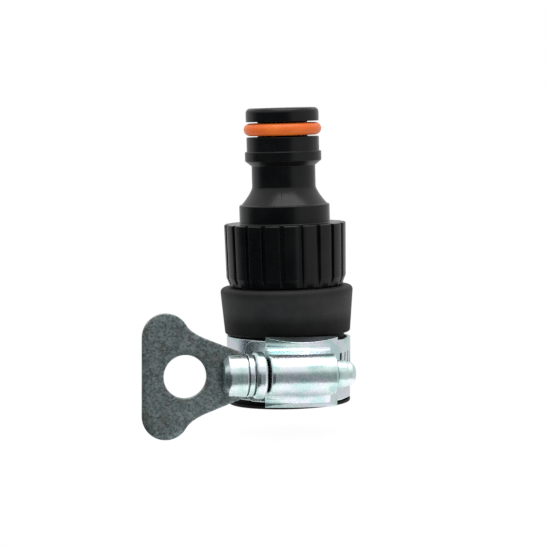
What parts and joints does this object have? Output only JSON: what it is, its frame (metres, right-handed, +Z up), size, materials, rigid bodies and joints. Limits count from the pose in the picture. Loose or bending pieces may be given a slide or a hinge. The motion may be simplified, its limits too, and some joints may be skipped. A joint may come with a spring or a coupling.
{
  "type": "hose tap connector",
  "caption": "Hose tap connector: quick-connect nipple with a fluted threaded skirt on a rubber sleeve, held to a plain spout by a worm-drive clamp with a thumb key.",
  "frame": {"origin": "centre of the rubber sleeve's mouth, where the tap spout goes in", "axes": "+Z up the sleeve's axis towards the nipple; -Y faces the viewer of the picture, towards the clamp's screw; +X to the viewer's right"},
  "size_m": [0.0455, 0.04, 0.0683],
  "materials": {
    "black_rubber": "matt moulded",
    "black_plastic": "satin moulded",
    "orange_rubber": "smooth moulded",
    "bright_zinc": "bright zinc plated",
    "dull_zinc": "dull zinc plated"
  },
  "bodies": {
    "sleeve": {"rubber_sleeve": "black_rubber", "threaded_insert": "black_plastic"},
    "gasket": {"flat_gasket": "black_rubber"},
    "connector": {"tap_connector": "black_plastic", "nipple_o_ring": "orange_rubber"},
    "clamp": {"clamp_band": "bright_zinc", "clamp_housing": "bright_zinc"},
    "screw": {"worm_screw": "bright_zinc", "thumb_key": "dull_zinc"}
  },
  "joints": [
    {"name": "connector_lift", "type": "slide", "parent": "sleeve", "child": "gasket", "axis": [0, 0, 1], "range_m": [0, 0.0091]},
    {"name": "connector_turn", "type": "hinge", "parent": "gasket", "child": "connector", "pos_m": [0, 0, 0], "axis": [0, 0, 1], "range_deg": [0, 1800]},
    {"name": "clamp_turn", "type": "hinge", "parent": "sleeve", "child": "clamp", "pos_m": [0, 0, 0.008], "axis": [0.0308, 0.0063, 0.9995], "continuous": true},
    {"name": "screw_turn", "type": "hinge", "parent": "clamp", "child": "screw", "pos_m": [0.00361, -0.01774, 0.008], "axis": [0.9794, 0.1993, -0.0314], "continuous": true}
  ],
  "couplings": [
    {"joint": "connector_lift", "follows": "connector_turn", "m_per_rad": 0.00028871}
  ]
}
